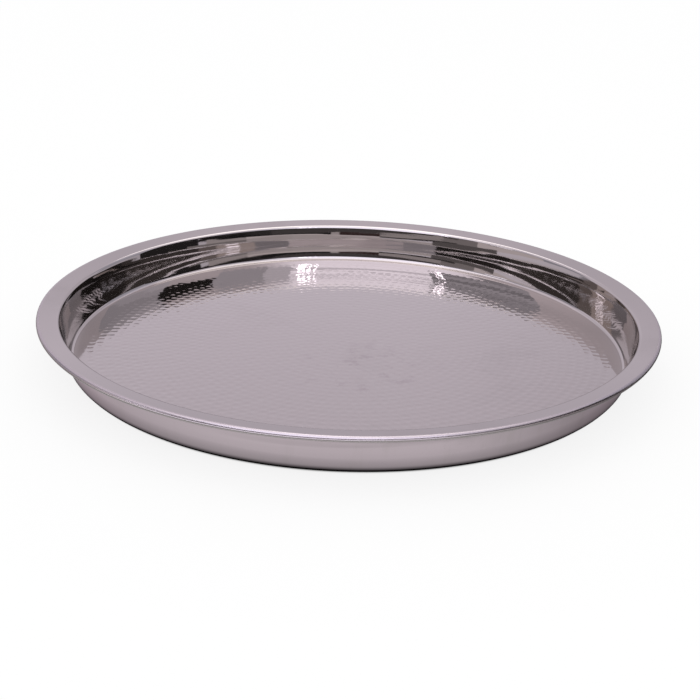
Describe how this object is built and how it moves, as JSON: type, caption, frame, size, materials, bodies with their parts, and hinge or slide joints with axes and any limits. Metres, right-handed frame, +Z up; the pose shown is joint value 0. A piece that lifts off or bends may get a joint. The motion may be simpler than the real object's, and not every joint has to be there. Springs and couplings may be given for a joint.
{
  "type": "serving tray",
  "caption": "Round double-skinned steel serving tray with a hammered floor, a tapered wall and an upturned rim whose edge is curled round a wire.",
  "frame": {"origin": "centre of the tray on the plane of its resting ring, which is the surface that it stands on", "axes": "+Z up, along the axis of the round tray; X and Y are alike"},
  "size_m": [0.4, 0.4, 0.0311],
  "materials": {
    "hammered_steel": "polished",
    "polished_steel": "polished",
    "wire_steel": "satin"
  },
  "bodies": {
    "root": {"hammered_pan": "hammered_steel", "outer_shell": "polished_steel", "rim_wire": "wire_steel"}
  },
  "joints": []
}
